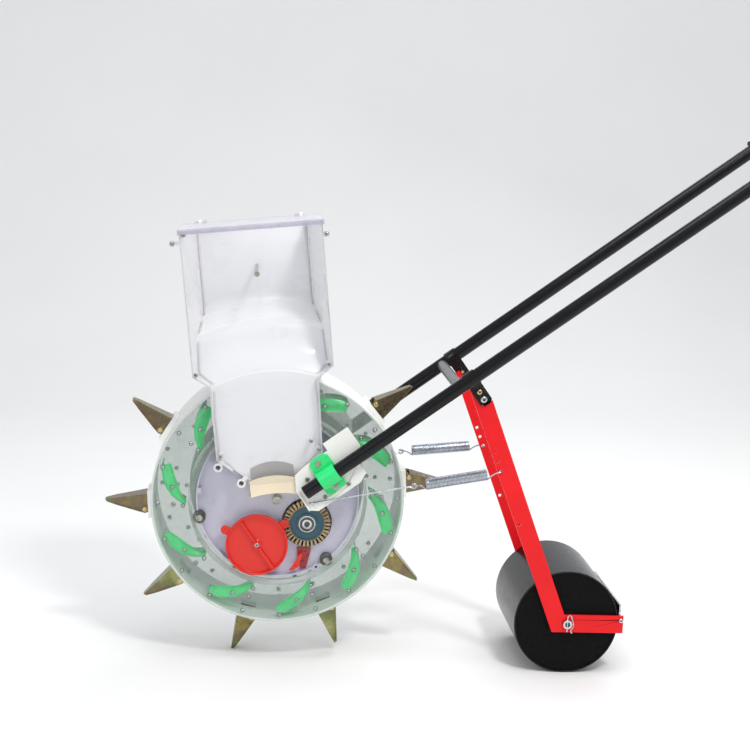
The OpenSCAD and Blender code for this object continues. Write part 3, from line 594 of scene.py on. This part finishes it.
def duckbill_rivets():
    """A headed pin through each duckbill, where its flap turns."""
    bm = bmesh.new()
    lead = polar(1, -17.65)
    pin = (244 + 4 * lead[0] + 5 * lead[1], 25 + 4 * lead[1] - 5 * lead[0])
    for k in range(STATIONS):
        a = math.radians(PHASE + PITCH * k)
        c = (pin[0] * math.cos(a) - pin[1] * math.sin(a), pin[0] * math.sin(a) + pin[1] * math.cos(a))
        lathe(bm, c, 1, [(2.5, -22.5), (2.5, 22.5)], 14)
        for side in (-1, 1):
            lathe(bm, c, side, [(2.5, 22), (4.6, 22), (4.5, 22.9), (3.9, 23.6), (2.4, 24), (1.5, 23.7),
                                (0, 23.5)], 18)
    add("duckbill_rivets", bm, "brass", "wheel", "duckbill_pins")


# ---------------------------------------------------------------- springs, rods and clips

def spring_line(side, eye):
    """The wire of one spring: a loop round the rod's eye, the coil, and the hook through the arm."""
    length = (HOOK - eye).length
    d = (HOOK - eye).normalized()
    n1 = Vector((d.z, 0, -d.x))
    n2 = Vector((0, side, 0))
    yc = side * SPRING_Y
    s0, s1 = 23.0, length - 27.0
    coil_r, turns, steps = 9.3, 47, 16

    def at(s, r, t):
        p = eye + d * s + n1 * (r * math.cos(t)) + n2 * (r * math.sin(t))
        return p.x, yc + p.y, p.z

    pts = []
    for i in range(14):
        t = 2 * math.pi * (0.12 + 0.8 * i / 13)
        p = eye + d * (1.5 - 4.2 * math.cos(t)) + n1 * (4.2 * math.sin(t))
        pts.append((p.x, yc, p.z))
    for i in range(1, 7):
        w = i / 7
        pts.append(at(4 + 18 * w, coil_r * w * w, -math.pi / 2 * (1 - w)))
    for i in range(turns * steps + 1):
        pts.append(at(s0 + (s1 - s0) * i / (turns * steps), coil_r, 2 * math.pi * i / steps))
    for i in range(1, 9):
        w = i / 8
        pts.append(at(s1 + (length - s1 - 5) * w, coil_r * (1 - w) ** 2, 0))
    for back, q in ((3, 0.0), (1, 1.2), (0, 3.5), (0, 8), (0, 13), (1.5, 15.2), (4, 15.8)):
        p = eye + d * (length - back)
        pts.append((p.x, yc - side * q, p.z))
    return pts


def rod_line(side, eye):
    """The wire rod: out of the bracket, along to the spring with a slight sag, and round its eye."""
    start = Vector((57, 0, 5.7))
    d = (eye - start).normalized()
    y = side * 112
    pts = [(57, side * 102, 5.7), (57, side * 108.5, 5.7), (57 + 0.8 * d.x, side * 111, 5.7 + 0.8 * d.z),
           (57 + 3 * d.x, y, 5.7 + 3 * d.z)]
    for i in range(1, 13):
        p = start + (eye - start) * (0.02 + 0.93 * i / 12)
        pts.append((p.x, y, p.z + 0.35 * math.sin(math.pi * i / 12)))
    for i in range(12):
        t = math.radians(200 + 300 * i / 11)
        p = eye + d * (0.6 + 4 * math.cos(t)) + Vector((-d.z, 0, d.x)) * (4 * math.sin(t))
        pts.append((p.x, y - side * (1.4 * i / 11 - 0.7), p.z))
    return pts


def springs_and_rods():
    bm = bmesh.new()
    rods = bmesh.new()
    for side, eye in ((-1, Vector((243, 0, 43.5))), (1, Vector((241, 0, 56.5)))):
        tube(bm, spring_line(side, eye), 1.2, 7)
        tube(rods, rod_line(side, eye), 1.75, 10)
    o = add("coil_springs_near_far", bm, "spring", None, "springs")
    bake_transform(o)
    add("spring_wires", rods, "steel", "frame", "spring_rods")


def axle_pins():
    """A wavy wire clip through each end of the roller's axle, and the bolts of the scraper."""
    bm = bmesh.new()
    wave = [(0, 14), (1.5, 16.6), (4.2, 17.4), (6.8, 16.2), (7.8, 13), (8.6, 9.5), (10.4, 5), (11.6, 0),
            (11.2, -5), (9.2, -9), (7.4, -11.5), (7.6, -14.5), (9.6, -17.5)]
    for side in (-1, 1):
        c = Vector((544.5, side * SPRING_Y, -212))
        tube(bm, [(c.x, c.y, c.z + 14 - 2.4 * i) for i in range(13)], 1.15, 8)
        tube(bm, [(c.x + x, c.y, c.z + z) for x, z in wave], 1.15, 8)
        pan(bm, (647, -205), side, 4.4, 108.5, 2.6, 2.5, 99.6)
    add("axle_pins_and_bolts", bm, ["steel", "dark_steel"], "roller_frame", "axle_clips")


# ---------------------------------------------------------------- brush

def brush_tufts():
    """34 tufts of 22 bristles round a ring."""
    bm = bmesh.new()
    tufts, bristles, root = 34, 22, 31.8
    for k in range(tufts):
        a0 = 360 / tufts * k + rng.uniform(-0.7, 0.7)
        for _ in range(bristles):
            u, v = rng.uniform(-1, 1), rng.uniform(-1, 1)
            b = a0 + 3.1 * u + rng.uniform(-0.7, 0.7)
            r1 = 44.3 - rng.uniform(0, 1.8)
            p0, p1 = polar(root, a0 + 2.4 * u), polar(r1, b)
            pm = polar((root + r1) / 2, a0 + 2.6 * u)
            y0, y1 = -BRUSH_Y + 3.0 * v, -BRUSH_Y + 3.9 * v
            tube(bm, [(BX + p0[0], y0, BZ + p0[1]), (BX + pm[0], (y0 + y1) / 2, BZ + pm[1]),
                      (BX + p1[0], y1, BZ + p1[1])], 0.5, 4, taper=lambda t: 1.0 - 0.35 * t)
    r0, r1, w = 30.5, 33.2, 3.6
    lathe(bm, (BX, BZ), -1, [(r0, BRUSH_Y - w), (r1, BRUSH_Y - w), (r1 + 0.6, BRUSH_Y), (r1, BRUSH_Y + w),
                             (r0, BRUSH_Y + w), (r0, BRUSH_Y - w)], 60)
    add("brush_tufts", bm, "bristle", "brush", "brush_bristles")


def brush_bearing():
    """The ball bearing's two rings, the dark shield between them, and the shaft's end."""
    bm = bmesh.new()
    lathe(bm, (BX, BZ), -1, [(5.1, 54.1), (15.9, 54.1), (15.9, 59.4), (15.3, 60), (13.6, 60), (13.2, 59.2),
                             (13.2, 57.6), (9.6, 57.6), (9.2, 58.2), (9.2, 59.9), (8.6, 60.4), (6.2, 60.4),
                             (5.1, 59.6), (5.1, 54.1)], 48)
    lathe(bm, (BX, BZ), -1, [(13.25, 57.6), (13.0, 58.3), (9.8, 58.3), (9.6, 57.6)], 48, 1)
    lathe(bm, (BX, BZ), -1, [(0, 55), (4.9, 55), (4.9, 58.2), (4.2, 58.8), (2.4, 58.8), (2.0, 57.8),
                             (0, 57.6)], 24, 1)
    add("brush_bearing_rings", bm, ["steel", "dark_steel"], "brush", "brush_bearing")


# ---------------------------------------------------------------- seed chutes

def chute_mid(k, t):
    """Middle of chute k's outline, t = 0 at its outer end and 1 at its inner one."""
    a = PHASE + PITCH * k + 15.4 + 20.4 * t + 2.2 * math.sin(math.pi * t)
    return Vector((*polar(213 - 45 * t, a), 0))


def leaf_chutes():
    """A leaf-shaped seed chute at each duckbill, open at the back, with a rolled lip."""
    bm = bmesh.new()
    for k in range(STATIONS):
        rows = []
        for i in range(21):
            t = i / 20
            c = chute_mid(k, t)
            d = (chute_mid(k, t + 0.01) - c).normalized()
            n = Vector((-d.y, d.x, 0))
            w = 3.4 + 8.4 * math.sin(math.pi * (0.09 + 0.86 * t) ** 0.62) ** 1.2
            lip = 1.0 if t > 0.06 else 0.4
            section = [(-w, -10.0), (-w, -40), (-w, -63.4), (-0.86 * w, -65.2), (-0.3 * w, -66.9),
                       (0.15 * w, -64.6), (0.62 * w, -62.0 * lip - 64.6 * (1 - lip)), (0.9 * w, -66.4),
                       (w, -66.9), (w, -65.6), (0.8 * w, -63.4), (0.5 * w, -60.2), (0.1 * w, -62.4),
                       (-0.3 * w, -64.8), (-w + 2.0, -62.0), (-w + 2.0, -40), (-w + 2.0, -10.0)]
            rows.append([bm.verts.new(P(c.x + n.x * q, y, c.y + n.y * q)) for q, y in section])
        m = len(rows[0])
        for a, b in zip(rows, rows[1:]):
            for q in range(m):
                bm.faces.new((a[q], a[(q + 1) % m], b[(q + 1) % m], b[q]))
        bm.faces.new(rows[0][::-1])
        bm.faces.new(rows[-1])
    add("leaf_chutes", bm, "green", "wheel", "seed_chutes")


# ---------------------------------------------------------------- inner skin of the hopper

NECK_HALF = 95.0                  # half width of the neck, inside
FLOOR_Y = -81.7                   # y of the hopper's floor behind the front panel
SKIN_COLS = 32


def hopper_half(z):
    """Half width between the side walls at height z of the hopper frame."""
    if z >= 0:
        return 123.2
    return 123.2 - 28 * min(1.0, -z / 19)


def hopper_height(x, r):
    """Height in the hopper frame at side distance x where the wheel axle is r away."""
    lo, hi = -90.0, 262.0
    for _ in range(26):
        mid = (lo + hi) / 2
        q = on_hopper(x, mid)
        lo, hi = (mid, hi) if math.hypot(*q) < r else (lo, mid)
    return lo


def rounded(pts):
    """Rounds each inner corner of (radius, y, corner radius) points."""
    out = [Vector(pts[0][:2])]
    for a, b, c in zip(pts, pts[1:], pts[2:]):
        p, q, r = Vector(a[:2]), Vector(b[:2]), Vector(c[:2])
        u, v = (p - q).normalized(), (r - q).normalized()
        k = b[2]
        for i in range(9):
            t = i / 8
            out.append((q + u * k) * (1 - t) ** 2 + q * (2 * t * (1 - t)) + (q + v * k) * t ** 2)
    out.append(Vector(pts[-1][:2]))
    return out


def across():
    """Steps from -1 to 1 across the hopper."""
    return [-1 + 2 * i / SKIN_COLS for i in range(SKIN_COLS + 1)]


def floor_point(u, r, y):
    """The floor's point at u across the hopper and r from the wheel axle."""
    z = 100.0
    for _ in range(6):
        narrow = max(0.0, (y + 101) * 0.13 if z > -20 else 0.0)
        z = min(258.5, hopper_height(u * (hopper_half(z) - narrow), r))
    half = hopper_half(z) - max(0.0, (y + 101) * 0.136)
    q = on_hopper(u * (half if z > -20 else min(half, NECK_HALF)), z)
    return q[0], y, q[1]


def hopper_skin():
    """A thin liner with the soft bends of the floor, then down the neck to the outlet."""
    bend = rounded([(500, 57.5, 0), (354.6, 57.5, 20), (331.5, -32.4, 22), (285.0, -48.6, 20),
                    (241.6, FLOOR_Y, 14), (222, FLOOR_Y, 0)])
    grid = [[floor_point(u, r, y) for u in across()] for r, y in bend]
    for t in (0.25, 0.5, 0.75, 1.0):
        line = []
        for u in across():
            z = hopper_height(u * 95, 222)
            q = on_hopper(u * (95 - 2.0 * t), z + (-150 - z) * t)
            line.append((q[0], FLOOR_Y, q[1]))
        grid.append(line)
    for z, w in ((-154, 92.6), (-168, 77.4), (-183, 59.9), (-198, 42.5)):
        grid.append([(q[0], FLOOR_Y, q[1]) for q in (on_hopper(w * u, z) for u in across())])
    bm = bmesh.new()
    rows = [[bm.verts.new(P(*v)) for v in line] for line in grid]
    for a, b in zip(rows, rows[1:]):
        for i in range(SKIN_COLS):
            bm.faces.new((a[i], a[i + 1], b[i + 1], b[i]))
    o = add("hopper_inner_skin", bm, "frosted", "frame", (), SLOTS["hopper_shell"])
    solid = o.modifiers.new("thick", "SOLIDIFY")
    solid.thickness = 0.0006
    solid.offset = -1


def outlet_painted_shade():
    """A grey plate with an arched top behind the outlet window: painted shade standing in for the white
    shell seen in shadow inside the outlet.
    """
    bm = bmesh.new()
    outline = [(-39.5, -198.5), (39.5, -198.5)] + [
        (0.8 + 82 * math.sin(math.radians(a)), -251 + 82 * math.cos(math.radians(a)))
        for a in range(28, -30, -3)]
    rows = [[bm.verts.new(P(on_hopper(x, z)[0], y, on_hopper(x, z)[1])) for x, z in outline]
            for y in (-83.6, -82.4)]
    for i in range(len(outline)):
        j = (i + 1) % len(outline)
        bm.faces.new((rows[0][i], rows[0][j], rows[1][j], rows[1][i]))
    bm.faces.new(rows[0])
    bm.faces.new(rows[1][::-1])
    # the grey of this plate is painted shade, not a smoked plastic gate
    add("outlet_painted_shade", bm, "smoke", "frame", (), SLOTS["hopper_shell"])


# ---------------------------------------------------------------- grips

def grips():
    """A rubber grip on each tube: a flange, eight ribs with finger waves, and a rounded end."""
    bm = bmesh.new()
    ca, sa = math.cos(TUBE_SLOPE), math.sin(TUBE_SLOPE)
    flange_end, rib_r, seg = 1134, 16.8, 36
    prof = [(12.6, 1128), (18, 1128), (19, 1129), (19, 1132), (18, 1133.4), (16.2, flange_end)]
    for i in range(8):
        u = 1142 + 12 * i
        prof += [(15.9, u - 3.4), (rib_r, u - 2.2), (rib_r, u + 2.2), (15.9, u + 3.4)]
    prof += [(16, 1238), (15.6, 1241), (14, 1242.8), (9, 1243), (0, 1243)]
    for side in (-1, 1):
        ax = Vector((ca * math.cos(TUBE_SPREAD), side * math.sin(TUBE_SPREAD), sa * math.cos(TUBE_SPREAD)))
        base = Vector((TUBE_ROOT[0], side * TUBE_Y, TUBE_ROOT[1]))
        n1 = ax.cross(Vector((0, 1, 0))).normalized()
        n2 = ax.cross(n1)
        rings = []
        for r, u in prof:
            c = base + ax * u
            if r == 0:
                rings.append([bm.verts.new(P(*c))])
                continue
            ring = []
            for i in range(seg):
                t = 2 * math.pi * i / seg
                rr = r
                if 1135 < u < 1238:
                    rr += 0.5 * math.cos(t) * math.sin((u - flange_end) / 108 * 8 * math.pi)
                if u > flange_end:
                    rr = min(rr, rib_r)
                ring.append(bm.verts.new(P(*(c + (n1 * math.cos(t) + n2 * math.sin(t)) * rr))))
            rings.append(ring)
        for a, b in zip(rings, rings[1:]):
            for i in range(seg):
                j = (i + 1) % seg
                if len(b) == 1:
                    bm.faces.new((a[i], a[j], b[0]))
                else:
                    bm.faces.new((a[i], a[j], b[j], b[i]))
    add("grips", bm, "rubber", "frame", "handle_grips")


for build in (wheel_screws, hopper_fasteners, bracket_fasteners, seed_cap, cap_fastener, clamp_fasteners,
              strap_fasteners, pivot_fasteners, core_fasteners, duckbill_rivets, springs_and_rods, axle_pins,
              brush_tufts, brush_bearing, leaf_chutes, hopper_skin, outlet_painted_shade, grips):
    build()

# ---------------------------------------------------------------- stage, light, camera

def stage():
    """A pale floor that curves up into a wall behind."""
    bm = bmesh.new()
    rows = []
    prof = [(-5.0, 0.0), (0.0, 0.0), (2.2, 0.0)]
    for i in range(1, 17):
        a = math.radians(90 * i / 16)
        prof.append((2.2 + 1.6 * math.sin(a), 1.6 - 1.6 * math.cos(a)))
    prof.append((3.8, 6.0))
    for y, z in prof:
        rows.append([bm.verts.new((x, y, z)) for x in (-6, -3, 0, 3, 6)])
    for a, b in zip(rows, rows[1:]):
        for i in range(4):
            bm.faces.new((a[i], a[i + 1], b[i + 1], b[i]))
    me = bpy.data.meshes.new("backdrop")
    bm.to_mesh(me)
    bm.free()
    for p in me.polygons:
        p.use_smooth = True
    o = bpy.data.objects.new("backdrop", me)
    bpy.context.scene.collection.objects.link(o)
    m, nt, b = new_mat("backdrop_paper")
    c = ramp(nt, noise(nt, 2, 3), [(0.3, (0.86, 0.86, 0.855)), (0.7, (0.88, 0.88, 0.88))])
    nt.links.new(c, b.inputs["Base Color"])
    b.inputs["Roughness"].default_value = 0.9
    b.inputs["Specular IOR Level"].default_value = 0.1
    me.materials.append(m)


def area(name, loc, target, size, power, color=(1, 1, 1)):
    lamp = bpy.data.lights.new(name, "AREA")
    lamp.shape = "RECTANGLE"
    lamp.size, lamp.size_y = size
    lamp.energy = power
    lamp.color = color
    o = bpy.data.objects.new(name, lamp)
    o.location = loc
    o.rotation_euler = (Vector(target) - Vector(loc)).to_track_quat("-Z", "Y").to_euler()
    bpy.context.scene.collection.objects.link(o)


stage()
world = bpy.data.worlds.new("studio")
bpy.context.scene.world = world
world.use_nodes = True
world.node_tree.nodes["Background"].inputs[0].default_value = (0.95, 0.97, 1.0, 1)
world.node_tree.nodes["Background"].inputs[1].default_value = 0.64
area("key", (0.7, -2.0, 3.2), (-0.2, 0, 0.4), (0.5, 0.5), 46, (1.0, 0.98, 0.95))
area("fill", (-2.4, -2.2, 1.6), (0, 0, 0.4), (1.5, 2.0), 10)
area("top", (0.0, -0.4, 3.2), (0, 0, 0.3), (2.0, 1.6), 32)
area("back", (1.0, 2.0, 2.4), (0, 0, 0.5), (2.0, 1.0), 20)

cam = bpy.data.cameras.new("camera")
cam.sensor_width = 36
cam.lens = 68.53
cam.clip_start = 0.05
co = bpy.data.objects.new("camera", cam)
right = Vector((0.99543, -0.08183, 0.04914)).normalized()
fwd = Vector((0.08899, 0.98179, -0.16782)).normalized()
up = right.cross(fwd).normalized()
co.matrix_world = Matrix(((right.x, up.x, -fwd.x, -0.4052), (right.y, up.y, -fwd.y, -2.6114),
                          (right.z, up.z, -fwd.z, 0.9828), (0, 0, 0, 1)))
bpy.context.scene.collection.objects.link(co)
bpy.context.scene.camera = co
bpy.context.scene.view_settings.view_transform = "Standard"
